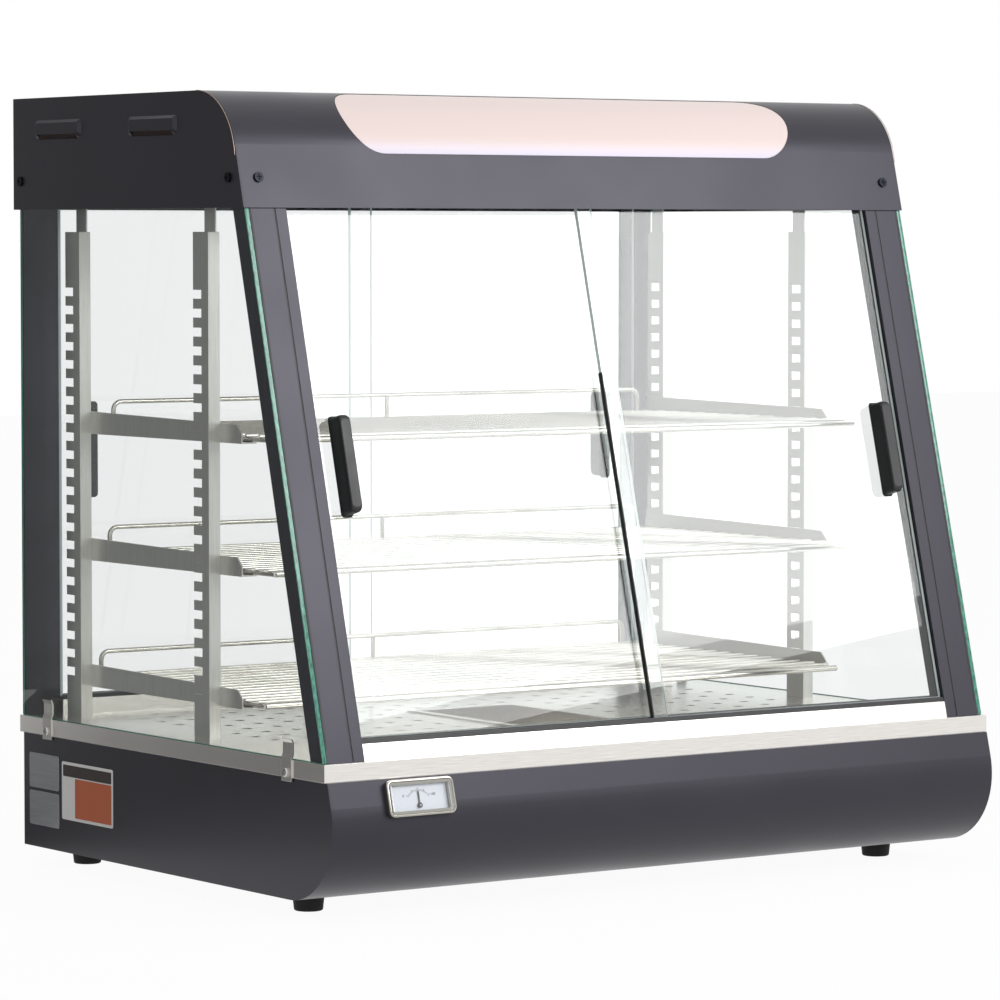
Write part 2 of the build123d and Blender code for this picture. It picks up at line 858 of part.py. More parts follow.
def front_handle(side):
    """Bar handle bonded to the pane, with rounded ends."""
    near = first_door_in if side > 0 else first_door_in + door_pitch
    z = tray_z + handle_centre
    centre = (side * handle_x, slope_y(z, near), z)
    plane = Plane(origin=centre, x_dir=(1, 0, 0), z_dir=(0, -cos(lean), sin(lean)))
    return plane * handle_bar()


def rear_handle(side):
    z = tray_z + handle_centre
    y = rear_door_y(side) + glass
    plane = Plane(origin=(side * handle_x, y, z), x_dir=(1, 0, 0), z_dir=(0, 1, 0))
    return plane * handle_bar()


def handle_bar():
    bar = Pos(0, 0, handle_depth / 2) * Box(handle_width, handle_length, handle_depth)
    ends = bar.edges().filter_by(Axis.X).group_by(Axis.Z)[-1]
    return fillet(ends, handle_round)


def rack_post(front_y):
    """Right-hand channel, open at the rear: notches in the outer leg, closed slots in the inner one."""
    high = tray_z + post_height
    inner = post_outer_x - post_width
    rear = front_y + post_leg
    post = box(inner, post_outer_x, front_y, rear, tray_z, high)
    post = post - box(inner + sheet, post_outer_x - sheet, front_y + sheet, rear + 1, tray_z - 1, high + 1)
    notches = []
    slot_y = front_y + slot_setback
    for i in range(notch_count):
        low = tray_z + notch_first + i * notch_pitch - notch_height / 2
        span = (low, low + notch_height)
        notches.append(box(inner + sheet, post_outer_x + 1, rear - notch_depth, rear + 2, *span))
        notches.append(box(inner - 1, inner + sheet, slot_y, slot_y + notch_depth, *span))
    return post - notches


def rack_posts(side):
    pieces = [rack_post(y) for y in post_front_ys]
    return group(pieces if side > 0 else [mirrored(piece) for piece in pieces])


def post_hangers():
    """Tongues that tie the posts to the ceiling, inside the channels."""
    inner = post_outer_x - post_width + sheet
    low = tray_z + post_height - hanger_lap
    pieces = []
    for front_y in post_front_ys:
        start = front_y + 2.5
        tongue = box(inner, inner + sheet, start, start + hanger_width, low, ceiling_z)
        pieces.append(tongue)
        pieces.append(mirrored(tongue))
    return group(pieces)


def peg_z(level):
    """Height of the pegs of a level, resting in their notches, counted from the top shelf down."""
    notch = tray_z + notch_first + (top_notch - level * level_steps) * notch_pitch
    return notch - notch_height / 2 + peg_radius


def bracket_z(level):
    """Underside of the bracket pair at a level."""
    return peg_z(level) - peg_lift


def shelf_brackets(level):
    """Left and right angle bars, each hung on its posts by two pegs."""
    low = bracket_z(level)
    outer = post_outer_x - post_width
    inner = bracket_inner_x
    web_points = [
        (bracket_front_y, low),
        (bracket_rear_y, low),
        (bracket_rear_y, low + bracket_rear_height),
        (bracket_front_y + bracket_chamfer, low + bracket_front_height),
        (bracket_front_y, low + bracket_front_height - bracket_chamfer),
    ]
    web = plate_yz(web_points, inner, outer)
    flange = box(inner - bracket_flange, inner, bracket_front_y, bracket_rear_y, low, low + sheet)
    bar = web + flange
    for front_y in post_front_ys:
        y = front_y + slot_setback + peg_radius + peg_play
        bar = bar + rod(peg_radius, (inner, y, peg_z(level)), (inner + peg_length, y, peg_z(level)))
    return group([bar, mirrored(bar)])


def shelf(level):
    """Wire shelf: cross bars on the brackets, wires across them, double front rod and rear fence."""
    low = bracket_z(level) + sheet
    front = shelf_fronts[level]
    rear = front + shelf_depth
    half = shelf_half
    cross_z = low + cross_radius
    wire_z = cross_z + cross_radius + wire_radius - weld
    pieces = []
    for x in (-half + cross_radius + 1, -half / 3, half / 3, half - cross_radius - 1):
        pieces.append(rod(cross_radius, (x, front, cross_z), (x, rear, cross_z)))
    count = round((shelf_depth - first_wire - fence_setback) / wire_pitch)
    for i in range(count + 1):
        y = front + first_wire + i * (shelf_depth - first_wire - fence_setback) / count
        pieces.append(rod(wire_radius, (-half, y, wire_z), (half, y, wire_z)))
    rod_z = cross_z + front_rod_lift
    pieces.append(rod(front_rod_radius, (-half, front, rod_z), (half, front, rod_z)))
    fence_y = rear - fence_setback
    fence_z = wire_z + fence_height
    pieces.append(rod(cross_radius, (-fence_half, fence_y, fence_z), (fence_half, fence_y, fence_z)))
    for x in (-fence_half + cross_radius, 0, fence_half - cross_radius):
        pieces.append(rod(cross_radius, (x, fence_y, wire_z), (x, fence_y, fence_z)))
    return joined(pieces)


def thermometer_case():
    body_width = gauge_width - gauge_edge - 0.4
    body_height = gauge_height - gauge_edge - 0.4
    flange = extrude(RectangleRounded(gauge_width, gauge_height, 2.5), gauge_flange)
    flange = chamfer(flange.faces().sort_by(Axis.Z)[-1].edges(), 1.2)
    body = Pos(0, 0, -gauge_body_depth) * extrude(Rectangle(body_width, body_height), gauge_body_depth)
    opening = Rectangle(*gauge_opening())
    pocket = Pos(0, 0, -gauge_pocket) * extrude(opening, gauge_pocket + gauge_flange + 1)
    return gauge_plane() * (flange + body - pocket)


def gauge_opening():
    return gauge_width - 2 * gauge_edge, gauge_height - 2 * gauge_edge


def needle_pivot_y():
    """Height of the needle pin on the dial, below its middle."""
    return -gauge_opening()[1] / 2 + 4.0


def thermometer_dial():
    dial = Pos(0, 0, -gauge_pocket) * extrude(Rectangle(*gauge_opening()), dial_thickness)
    pin_low = -gauge_pocket + dial_thickness
    pin = Pos(0, needle_pivot_y(), pin_low) * extrude(Circle(needle_pin_radius), 2.2)
    return gauge_plane() * (dial + pin)


def thermometer_needle():
    low = -gauge_pocket + dial_thickness + 0.4
    hub = extrude(Circle(2.0), 1.2)
    blade = Pos(0, needle_length / 2, 0) * extrude(Rectangle(1.0, needle_length), 0.6)
    needle = hub + blade - extrude(Circle(needle_pin_radius + needle_play), 3)
    return gauge_plane() * Pos(0, needle_pivot_y(), low) * needle


def thermometer_lens():
    low = gauge_flange - lens_drop - gauge_lens
    return gauge_plane() * Pos(0, 0, low) * extrude(Rectangle(*gauge_opening()), gauge_lens)


def thermostat_body():
    width, depth, height = thermostat_size
    rear = base_rear_y - sheet
    body = Pos(knob_x, rear - depth / 2, control_z) * Box(width, depth, height)
    bore = rod(shaft_radius + running_fit, (knob_x, rear - 12, control_z), (knob_x, rear + 1, control_z))
    return body - bore


def thermostat_knob():
    """Grip with a pointer rib, on a shaft that turns in the thermostat."""
    start = base_rear_y + knob_gap
    end = start + knob_reach
    skirt = rod(knob_radius, (knob_x, start, control_z), (knob_x, start + 3, control_z))
    grip = rod(knob_radius - 5, (knob_x, start + 3, control_z), (knob_x, end, control_z))
    rib = box(knob_x - 2, knob_x + 2, start + 3, end, control_z - 4, control_z + knob_radius - 1)
    shaft = rod(shaft_radius, (knob_x, base_rear_y - sheet - 10, control_z), (knob_x, start, control_z))
    return skirt + grip + rib + shaft


def pivot_y():
    return base_rear_y - 3.0


def switch_bodies():
    """Housings of the power switch and the light switch."""
    pieces = []
    for x in switch_xs:
        half_x = switch_width / 2
        half_z = switch_height / 2
        front = base_rear_y + switch_flange
        flange = box(x - half_x, x + half_x, base_rear_y, front, control_z - half_z, control_z + half_z)
        inner_x = half_x - switch_lip - switch_play
        inner_z = half_z - switch_lip - switch_play
        rear = base_rear_y - switch_depth
        case = box(x - inner_x, x + inner_x, rear, base_rear_y, control_z - inner_z, control_z + inner_z)
        pocket_x = rocker_width / 2 + rocker_play
        pocket_z = rocker_half + rocker_play + 0.5
        low = control_z - pocket_z
        pocket = box(x - pocket_x, x + pocket_x, rear + switch_back, front + 1, low, low + 2 * pocket_z)
        reach = rocker_width / 2 + pivot_length + 0.1
        start = (x - reach, pivot_y(), control_z)
        bore = rod(pivot_radius + running_fit, start, (x + reach, pivot_y(), control_z))
        pieces.append(flange + case - pocket - bore)
    return group(pieces)


def rocker(x):
    """Rocker held at its off tilt, with a stub pin on each side."""
    half = rocker_width / 2
    front = base_rear_y + switch_flange + 2.5 - pivot_y()
    points = [
        (-4.0, -3.0),
        (front - 2.0, -rocker_half),
        (front, -rocker_half + 1.0),
        (front - 1.8, 0.0),
        (front, rocker_half - 1.0),
        (front - 2.0, rocker_half),
        (-4.0, 3.0),
    ]
    body = plate_yz(points, -half, half)
    reach = half + pivot_length
    body = body + rod(pivot_radius, (-reach, 0, 0), (reach, 0, 0))
    return Pos(x, pivot_y(), control_z) * Rot(rocker_tilt, 0, 0) * body


def cord_gland():
    """Bush where a supply cord enters the rear panel."""
    y = base_rear_y
    bush = rod(gland_radius, (gland_x, y, control_z), (gland_x, y + 4, control_z))
    neck = rod(gland_neck, (gland_x, y - 12, control_z), (gland_x, y, control_z))
    return bush + neck - rod(gland_bore, (gland_x, y - 13, control_z), (gland_x, y + 5, control_z))


def pair(name, shape):
    """Right-hand piece and its mirror image."""
    return {name + "_right": shape, name + "_left": mirrored(shape)}


def nodes():
    levels = ("top", "middle", "bottom")
    parts = {
        "base_front_wrap": base_front_wrap(),
        "base_rear_panel": base_rear_panel(),
        "base_bottom_plate": base_bottom_plate(),
        "feet": feet(),
        "foot_screws": foot_screws(),
        "deck_tray": deck_tray(),
        "water_pan": water_pan(),
        "heating_element": heating_element(),
        "element_brackets": element_brackets(),
        "glass_clips": glass_clips(),
        "clip_screws": clip_screws(),
        "canopy_wrap": canopy_wrap(),
        "canopy_rear_panel": canopy_rear_panel(),
        "canopy_ceiling": canopy_ceiling(),
        "canopy_screws": canopy_screws(),
        "light_window": light_window(),
        "lamp_tube": lamp_tube(),
        "lamp_holders": lamp_holders(),
        "front_sill": front_sill(),
        "rear_sill": rear_sill(),
        "door_tracks": door_tracks(),
        "top_tracks": top_tracks(),
        "rack_posts_left": rack_posts(-1),
        "rack_posts_right": rack_posts(1),
        "post_hangers": post_hangers(),
        "thermometer_case": thermometer_case(),
        "thermometer_dial": thermometer_dial(),
        "thermometer_needle": thermometer_needle(),
        "thermometer_lens": thermometer_lens(),
        "thermostat_body": thermostat_body(),
        "thermostat_knob": thermostat_knob(),
        "switch_bodies": switch_bodies(),
        "power_rocker": rocker(switch_xs[0]),
        "light_rocker": rocker(switch_xs[1]),
        "cord_gland": cord_gland(),
    }
    parts.update(pair("base_side", base_side()))
    parts.update(pair("front_pillar", front_pillar()))
    parts.update(pair("rear_pillar", rear_pillar()))
    parts.update(pair("side_glass", side_glass()))
    parts.update(pair("canopy_side", canopy_side()))
    for side, word in ((-1, "left"), (1, "right")):
        parts["front_door_" + word] = front_door(side)
        parts["rear_door_" + word] = rear_door(side)
        parts["front_handle_" + word] = front_handle(side)
        parts["rear_handle_" + word] = rear_handle(side)
    for level, word in enumerate(levels):
        parts["shelf_brackets_" + word] = shelf_brackets(level)
        parts["shelf_" + word] = shelf(level)
    return parts


for name, shape in nodes().items():
    export_step(shape, "parts/" + name + ".step")
    solids = shape.solids()
    print(name, len(solids), round(sum(solid.volume for solid in solids)))
print("door travel", round(door_travel, 2), "lean in degrees", round(degrees(lean), 3))
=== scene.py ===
import json
from math import atan, cos, pi, radians, sin

import bmesh
import bpy
import numpy as np
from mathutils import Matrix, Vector


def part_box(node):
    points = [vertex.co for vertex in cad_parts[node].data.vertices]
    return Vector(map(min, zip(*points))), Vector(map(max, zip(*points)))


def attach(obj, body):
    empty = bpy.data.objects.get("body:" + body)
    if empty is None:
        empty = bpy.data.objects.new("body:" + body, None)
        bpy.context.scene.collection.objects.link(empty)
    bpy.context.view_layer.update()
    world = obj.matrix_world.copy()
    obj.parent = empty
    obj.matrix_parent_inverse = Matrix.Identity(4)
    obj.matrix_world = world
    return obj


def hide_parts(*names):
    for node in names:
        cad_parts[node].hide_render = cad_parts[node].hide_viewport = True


# Countertop food display case: finishes, glass, wire shelves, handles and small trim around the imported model.
# Lengths are metres, except where a name or a note says mm.
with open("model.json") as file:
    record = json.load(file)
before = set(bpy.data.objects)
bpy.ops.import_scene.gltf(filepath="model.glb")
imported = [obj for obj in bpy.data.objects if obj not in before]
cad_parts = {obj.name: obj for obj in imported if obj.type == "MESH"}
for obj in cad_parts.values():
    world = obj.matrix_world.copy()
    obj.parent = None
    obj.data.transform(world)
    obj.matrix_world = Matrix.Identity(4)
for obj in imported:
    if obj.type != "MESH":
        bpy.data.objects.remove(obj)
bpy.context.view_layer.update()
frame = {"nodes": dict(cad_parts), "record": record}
scene = bpy.context.scene
mm = 0.001
print("frame loaded:", len(frame["nodes"]), "nodes")


def low(node):
    return np.array(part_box(node)[0])


def high(node):
    return np.array(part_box(node)[1])


# The front plane leans back: y = frontY + leanTan * (z - frontZ).
leanTan = 0.26
lean = atan(leanTan)
frontY = low("front_sill")[1]
frontZ = low("front_sill")[2]
leanUp = np.array([0.0, sin(lean), cos(lean)])
leanOut = np.array([0.0, -cos(lean), sin(lean)])
alongX = np.array([1.0, 0.0, 0.0])
alongY = np.array([0.0, 1.0, 0.0])
alongZ = np.array([0.0, 0.0, 1.0])


def slopeY(z, behind=0.0):
    return frontY + leanTan * (z - frontZ) + behind


# Colours and materials

def linear(code):
    # sRGB to linear: c / 12.92 up to 0.04045, else ((c + 0.055) / 1.055) ^ 2.4
    c = np.array([int(code[i:i + 2], 16) for i in (0, 2, 4)]) / 255
    out = np.where(c <= 0.04045, c / 12.92, ((c + 0.055) / 1.055) ** 2.4)
    return (*out.tolist(), 1.0)


def addNode(tree, kind, inputs=None, **settings):
    # one node with its settings; an input is a value or the socket that feeds it
    node = tree.nodes.new(kind)
    for key, value in settings.items():
        setattr(node, key, value)
    for key, value in (inputs or {}).items():
        if isinstance(value, bpy.types.NodeSocket):
            tree.links.new(value, node.inputs[key])
        else:
            node.inputs[key].default_value = value
    return node


def newMaterial(name):
    material = bpy.data.materials.new(name)
    material.use_nodes = True
    material.node_tree.nodes.clear()
    return material, material.node_tree


def close(tree, shader):
    addNode(tree, "ShaderNodeOutputMaterial", {"Surface": shader})


def objectNoise(tree, stretch, detail=2.0, rough=0.5):
    # noise on Object coordinates; stretch is cycles per metre along X, Y and Z
    place = addNode(tree, "ShaderNodeTexCoord")
    mapped = addNode(tree, "ShaderNodeMapping", {"Vector": place.outputs["Object"], "Scale": stretch})
    noise = addNode(tree, "ShaderNodeTexNoise",
                    {"Vector": mapped.outputs["Vector"], "Scale": 1.0, "Detail": detail, "Roughness": rough})
    return noise.outputs["Fac"]


def mixColour(tree, factor, first, second):
    inputs = {"Fac": factor, "Color1": linear(first), "Color2": linear(second)}
    return addNode(tree, "ShaderNodeMixRGB", inputs).outputs["Color"]


def spread(tree, value, lowest, highest):
    # value 0.3 to 0.7, where noise mostly lies, to lowest to highest
    inputs = {"Value": value, "From Min": 0.3, "From Max": 0.7, "To Min": lowest, "To Max": highest}
    return addNode(tree, "ShaderNodeMapRange", inputs).outputs["Result"]


def softEdge(tree, radius, bump=None):
    # normal that rounds folded edges by radius, over an optional bump
    edge = addNode(tree, "ShaderNodeBevel", {"Radius": radius}, samples=4)
    if bump is None:
        return edge.outputs["Normal"]
    tree.links.new(edge.outputs["Normal"], bump.inputs["Normal"])
    return bump.outputs["Normal"]


def powderCoatedSteel():
    # mild steel sheet under satin black powder: orange peel of about 1.4 mm, soft sheen, faint handling marks
    look = {"deep": "1e1e23", "worn": "25252b", "roughness": (0.34, 0.42),
            "peel": 1.4, "patch": 90.0, "edge": 0.5}
    material, tree = newMaterial("powderCoatedSteel")
    peel = objectNoise(tree, [1000 / look["peel"]] * 3, detail=1.0)
    patch = objectNoise(tree, [1000 / look["patch"]] * 3, detail=4.0)
    bump = addNode(tree, "ShaderNodeBump", {"Height": peel, "Strength": 0.10, "Distance": 0.00006})
    shader = addNode(tree, "ShaderNodeBsdfPrincipled", {
        "Base Color": mixColour(tree, patch, look["deep"], look["worn"]),
        "Roughness": spread(tree, patch, *look["roughness"]),
        "IOR": 1.5,
        "Specular IOR Level": 0.46,
        "Specular Tint": linear("f1ebff"),
        "Coat Weight": 0.12,
        "Coat Roughness": 0.16,
        "Normal": softEdge(tree, look["edge"] * mm, bump),
    })
    close(tree, shader.outputs["BSDF"])
    return material


def brushedStainless(name, light, dark, roughness, grain, stretch, edge=0.5, anisotropy=0.3):
    # 304 stainless sheet, brushed: long fine scratches of grain mm pitch across the brushing direction
    material, tree = newMaterial(name)
    across = 1000 / grain
    scratches = objectNoise(tree, [across * s for s in stretch], detail=3.0, rough=0.6)
    cloud = objectNoise(tree, [9.0, 9.0, 9.0], detail=2.0)
    bump = addNode(tree, "ShaderNodeBump", {"Height": scratches, "Strength": 0.06, "Distance": 0.00003})
    shader = addNode(tree, "ShaderNodeBsdfPrincipled", {
        "Base Color": mixColour(tree, spread(tree, scratches, 0.0, 1.0), light, dark),
        "Metallic": 1.0,
        "Roughness": spread(tree, cloud, roughness * 0.9, roughness * 1.1),
        "Anisotropic": anisotropy,
        "Normal": softEdge(tree, edge * mm, bump),
    })
    close(tree, shader.outputs["BSDF"])
    return material


def chromePlatedWire():
    # bright nickel-chrome on drawn wire: near mirror, with a faint satin from drawing
    material, tree = newMaterial("chromePlatedWire")
    drawn = objectNoise(tree, [30.0, 900.0, 900.0], detail=2.0)
    shader = addNode(tree, "ShaderNodeBsdfPrincipled", {
        "Base Color": mixColour(tree, drawn, "dcd8d2", "b3aea7"),
        "Metallic": 1.0,
        "Roughness": spread(tree, drawn, 0.12, 0.24),
    })
    close(tree, shader.outputs["BSDF"])
    return material


def floatGlass(name, tint, roughness=0.0):
    # clear toughened float glass: smooth faces, faint green body; shadow and reflected rays pass straight on
    material, tree = newMaterial(name)
    glass = addNode(tree, "ShaderNodeBsdfPrincipled", {
        "Base Color": linear(tint), "Roughness": roughness, "IOR": 1.45, "Transmission Weight": 1.0})
    clear = addNode(tree, "ShaderNodeBsdfTransparent", {"Color": linear("fafdfc")})
    path = addNode(tree, "ShaderNodeLightPath")
    surface = glass.outputs["BSDF"]
    for ray in ("Is Shadow Ray", "Is Reflection Ray"):
        mix = addNode(tree, "ShaderNodeMixShader", {0: path.outputs[ray]})
        tree.links.new(surface, mix.inputs[1])
        tree.links.new(clear.outputs["BSDF"], mix.inputs[2])
        surface = mix.outputs["Shader"]
    close(tree, surface)
    return material


def groundGlassEdge(name, deep, pale, roughness=0.22):
    # ground and polished pane edge: green through the body of the pane, streaked along its length
    material, tree = newMaterial(name)
    streak = objectNoise(tree, [700.0, 700.0, 6.0], detail=3.0)
    shader = addNode(tree, "ShaderNodeBsdfPrincipled", {
        "Base Color": mixColour(tree, spread(tree, streak, 0.0, 1.0), deep, pale),
        "Roughness": roughness,
        "IOR": 1.5,
        "Coat Weight": 0.4,
        "Coat Roughness": 0.05,
    })
    close(tree, shader.outputs["BSDF"])
    return material


def mouldedPlastic(name, deep, pale, roughness, grain=0.5, strength=0.12, specular=0.5):
    # injection moulded polymer: fine spark-eroded grain from the tool
    material, tree = newMaterial(name)
    texture = objectNoise(tree, [1000 / grain] * 3, detail=1.0)
    cloud = objectNoise(tree, [60.0] * 3, detail=3.0)
    bump = addNode(tree, "ShaderNodeBump", {"Height": texture, "Strength": strength, "Distance": 0.00005})
    shader = addNode(tree, "ShaderNodeBsdfPrincipled", {
        "Base Color": mixColour(tree, cloud, deep, pale),
        "Roughness": spread(tree, cloud, roughness * 0.9, roughness * 1.1),
        "Specular IOR Level": specular,
        "Normal": softEdge(tree, 0.3 * mm, bump),
    })
    close(tree, shader.outputs["BSDF"])
    return material


def opalAcrylic():
    # opal acrylic over the lamp: rosy white that cools to lavender along its lower edge, even glow
    look = {"rosy": "e3d0cc", "lavender": "cfc9dc", "fade": 12.0}
    material, tree = newMaterial("opalAcrylic")
    place = addNode(tree, "ShaderNodeTexCoord")
    axes = addNode(tree, "ShaderNodeSeparateXYZ", {"Vector": place.outputs["Object"]})
    base = low("light_window")[2] + 8 * mm
    fade = addNode(tree, "ShaderNodeMapRange", {
        "Value": axes.outputs["Z"], "From Min": base, "From Max": base + look["fade"] * mm,
        "To Min": 1.0, "To Max": 0.0})
    cloud = objectNoise(tree, [3.0, 3.0, 3.0], detail=1.0)
    body = mixColour(tree, cloud, look["rosy"], "e6d5d1")
    tint = addNode(tree, "ShaderNodeMixRGB", {
        "Fac": fade.outputs["Result"], "Color1": body, "Color2": linear(look["lavender"])})
    shader = addNode(tree, "ShaderNodeBsdfPrincipled", {
        "Base Color": tint.outputs["Color"], "Roughness": 0.28, "IOR": 1.49,
        "Emission Color": tint.outputs["Color"], "Emission Strength": 0.06})
    close(tree, shader.outputs["BSDF"])
    return material


def glowing(name, code, strength):
    material, tree = newMaterial(name)
    cloud = objectNoise(tree, [20.0] * 3)
    shader = addNode(tree, "ShaderNodeBsdfPrincipled", {
        "Base Color": mixColour(tree, cloud, code, "ffffff"), "Roughness": 0.3,
        "Emission Color": linear(code), "Emission Strength": strength})
    close(tree, shader.outputs["BSDF"])
    return material


finishes = {
    "black_paint": powderCoatedSteel(),
    "tray_steel": brushedStainless("brushedTraySteel", "efece8", "dedad5", 0.24, 0.5, (0.02, 1.0, 1.0)),
    "rack_steel": brushedStainless("satinRackSteel", "d6d3cf", "c2bfbb", 0.34, 0.6, (1.0, 1.0, 0.015)),
    "chrome_wire": chromePlatedWire(),
    "clear_glass": floatGlass("clearFloatGlass", "fdfefe"),
    "black_plastic": mouldedPlastic("blackAbs", "17171a", "1e1e22", 0.42),
    "foot_rubber": mouldedPlastic("blackFootRubber", "0c0d0f", "131416", 0.70, 0.8, 0.25, 0.35),
    "diffuser": opalAcrylic(),
    "screw_black": brushedStainless("blackOxideScrew", "2c2d33", "1b1c20", 0.32, 0.4, (1, 1, 1), 0.2, 0.0),
    "screw_steel": brushedStainless("polishedScrewSteel", "cfcecb", "b5b3b0", 0.18, 0.4, (1, 1, 1), 0.2, 0.0),
    "heater_steel": brushedStainless("heaterTubeSteel", "77777a", "5e5f63", 0.40, 0.8, (0.1, 1, 1)),
    "gauge_frame": brushedStainless("chromedGaugeFrame", "b9b6af", "9c9992", 0.14, 0.5, (1, 1, 1), 0.2, 0.0),
    "gauge_face": mouldedPlastic("whiteGaugeFace", "e6e5f1", "eceaf5", 0.50, 0.4, 0.03),
    "needle_black": mouldedPlastic("blackPointer", "15151a", "202026", 0.40),
    "rocker_red": mouldedPlastic("redRockerNylon", "8e1212", "a51a17", 0.25, 0.6, 0.05),
    "lamp_opal": glowing("opalLampTube", "fff2e0", 2.0),
}
edgeGreen = groundGlassEdge("greenGlassEdge", "1d5a4c", "4fa18b")
edgePale = groundGlassEdge("paleGlassEdge", "c9d6d6", "eef4f4", 0.35)
sealBlack = mouldedPlastic("blackDoorSeal", "0e0e10", "141417", 0.45)
plateSilver = brushedStainless("silverRatingPlate", "b9bbbd", "a2a4a7", 0.42, 0.5, (1, 0.02, 1), 0.1, 0.2)
plateRust = mouldedPlastic("rustLabelVinyl", "a8502c", "b45a34", 0.45, 0.6, 0.04)
plateDark = mouldedPlastic("darkLabelVinyl", "2b2320", "332a27", 0.45, 0.6, 0.04)
plateWhite = mouldedPlastic("whiteLabelVinyl", "c9c8c6", "d6d5d3", 0.45, 0.6, 0.04)
printBlack = mouldedPlastic("dialPrint", "22222a", "2c2c34", 0.60, 0.5, 0.02)
# pale beige bead colour along the canopy seam: painted highlight of the folded edge catching the light
seamHighlightBead = brushedStainless("paintedHighlightSeam", "c7ada0", "a8948a", 0.35, 0.5, (1, 1, 1), 0.1, 0.0)

for part in frame["record"]["subparts"]:
    node = frame["nodes"].get(part["node"])
    if node is not None:
        node.data.materials.clear()
        node.data.materials.append(finishes[part["material_slot"]])
print("finishes assigned:", len(finishes))


# Mesh tools

def finishPiece(name, points, faces, materials, body, bands=None, sharp=35.0):
    # one mesh from points and faces; normals outwards, quads smooth up to the sharp angle, end caps flat
    mesh = bpy.data.meshes.new(name)
    mesh.from_pydata(np.asarray(points).reshape(-1, 3).tolist(), [], faces)
    for material in materials:
        mesh.materials.append(material)
    if bands is not None:
        mesh.polygons.foreach_set("material_index", np.asarray(bands, dtype=np.int32))
    shaped = bmesh.new()
    shaped.from_mesh(mesh)
    bmesh.ops.recalc_face_normals(shaped, faces=shaped.faces)
    shaped.to_mesh(mesh)
    shaped.free()
    mesh.set_sharp_from_angle(angle=radians(sharp))
    sides = np.zeros(len(mesh.polygons), dtype=np.int32)
    mesh.polygons.foreach_get("loop_total", sides)
    mesh.polygons.foreach_set("use_smooth", sides == 4)
    piece = bpy.data.objects.new(name, mesh)
    scene.collection.objects.link(piece)
    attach(piece, body)
    return piece


def tubeSkin(rings, start=0):
    # quads between neighbouring closed rings, and a cap on each end; rings is (count, sides, 3)
    count, sides = rings.shape[:2]
    i, j = np.meshgrid(np.arange(count - 1), np.arange(sides), indexing="ij")
    k = (j + 1) % sides
    quads = np.stack([i * sides + j, i * sides + k, (i + 1) * sides + k, (i + 1) * sides + j], -1)
    quads = (quads.reshape(-1, 4) + start).tolist()
    first = (np.arange(sides)[::-1] + start).tolist()
    last = (np.arange(sides) + (count - 1) * sides + start).tolist()
    return quads + [first, last]


class Heap:
    # several closed skins that end up in one piece
    def __init__(self):
        self.points = []
        self.faces = []
        self.bands = []
        self.count = 0

    def add(self, rings, band=0, capBand=None):
        faces = tubeSkin(rings, self.count)
        self.faces += faces
        self.bands += [band] * (len(faces) - 2) + [band if capBand is None else capBand] * 2
        self.points.append(rings.reshape(-1, 3))
        self.count += rings.shape[0] * rings.shape[1]

    def piece(self, name, materials, body, slot, sharp=35.0):
        points = np.concatenate(self.points)
        return finishPiece(name, points, self.faces, materials, body, self.bands, sharp)


def placed(local, origin, across, up, out):
    # local (u, v, w) to the frame: origin + u * across + v * up + w * out
    return (np.asarray(origin) + local[..., 0:1] * across + local[..., 1:2] * up + local[..., 2:3] * out)


def ring(corners, radius, inset, steps=5):
    # convex outline moved in by inset, corners as arcs: centre - r * (cos a, sin a)
    corners = np.asarray(corners, float)
    ahead = np.roll(corners, -1, axis=0) - corners
    ahead /= np.linalg.norm(ahead, axis=1, keepdims=True)
    normal = np.stack([-ahead[:, 1], ahead[:, 0]], 1)
    before = np.roll(normal, 1, axis=0)
    reach = (before + normal) / (1 + np.sum(before * normal, axis=1, keepdims=True))
    r = max(radius - inset, radius * 0.15)
    centre = corners + (inset + r) * reach
    start = np.arctan2(before[:, 1], before[:, 0])
    turn = (np.arctan2(normal[:, 1], normal[:, 0]) - start) % (2 * pi)
    angle = start[:, None] + turn[:, None] * np.linspace(0, 1, steps + 1)
    x = centre[:, None, 0] - r * np.cos(angle)
    y = centre[:, None, 1] - r * np.sin(angle)
    return np.stack([x, y], -1).reshape(-1, 2)


def rectangle(width, height):
    w, h = width / 2, height / 2
    return [(-w, -h), (w, -h), (w, h), (-w, h)]


def plateRings(corners, thickness, edge, radius=0.4 * mm, steps=4, cornerSteps=5):
    # plate with quarter-round edges: inset = e * (1 - sin a), height = e * (1 - cos a), the same at the top
    a = np.linspace(0, pi / 2, steps)
    inset = np.concatenate([edge * (1 - np.sin(a)), edge * (1 - np.sin(a[::-1]))])
    w = np.concatenate([edge * (1 - np.cos(a)), thickness - edge * (1 - np.cos(a[::-1]))])
    rings = [np.c_[ring(corners, radius, i, cornerSteps), np.full(len(corners) * (cornerSteps + 1), t)]
             for i, t in zip(inset, w)]
    return np.stack(rings)


def rodRings(start, end, radius, sides=12, dome=0.5):
    # round bar with domed ends: radius * cos(a), end moved by dome * radius * sin(a)
    start, end = np.asarray(start, float), np.asarray(end, float)
    length = np.linalg.norm(end - start)
    along = (end - start) / length
    helper = alongZ if abs(along[2]) < 0.9 else alongX
    side = np.cross(along, helper)
    side /= np.linalg.norm(side)
    up = np.cross(side, along)
    a = np.linspace(0.15, pi / 2, 4)
    cap = dome * radius
    t = np.concatenate([cap * (1 - np.sin(a)), length - cap * (1 - np.sin(a[::-1]))])
    r = np.concatenate([radius * np.sin(a), radius * np.sin(a[::-1])])
    angle = np.linspace(0, 2 * pi, sides, endpoint=False)
    circle = np.cos(angle)[:, None] * side + np.sin(angle)[:, None] * up
    return start + t[:, None, None] * along + r[:, None, None] * circle


